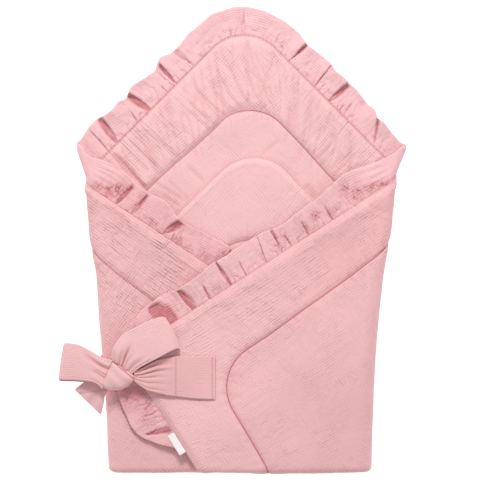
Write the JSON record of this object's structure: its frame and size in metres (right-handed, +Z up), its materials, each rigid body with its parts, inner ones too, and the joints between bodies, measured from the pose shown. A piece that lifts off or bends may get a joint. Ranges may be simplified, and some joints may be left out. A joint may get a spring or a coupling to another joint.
{
  "type": "folded swaddle wrap",
  "caption": "Padded, quilted muslin wrap for a newborn: a ruffled square lying folded like an envelope, its two side flaps held by a soft bow.",
  "frame": {"origin": "on the floor, under the middle of the whole folded wrap", "axes": "+Y along the wrap towards the tip of the hood, +X across it towards the side of the flap that lies on top, +Z up from the floor"},
  "size_m": [0.4702, 0.6292, 0.061],
  "materials": {
    "quilt_muslin": "matte dusty pink double gauze, crinkled and padded",
    "ruffle_muslin": "matte dusty pink double gauze, gathered",
    "tie_muslin": "matte dusty pink double gauze",
    "label_tape": "plain off-white woven tape, blank"
  },
  "bodies": {
    "root": {"quilted_wrap": "quilt_muslin", "ruffle_left": "ruffle_muslin", "ruffle_right": "ruffle_muslin", "bow_knot": "tie_muslin", "bow_loop_upper": "tie_muslin", "bow_loop_left": "tie_muslin", "bow_tail": "tie_muslin", "tie_right": "tie_muslin", "tie_left": "tie_muslin", "label": "label_tape"}
  },
  "joints": []
}
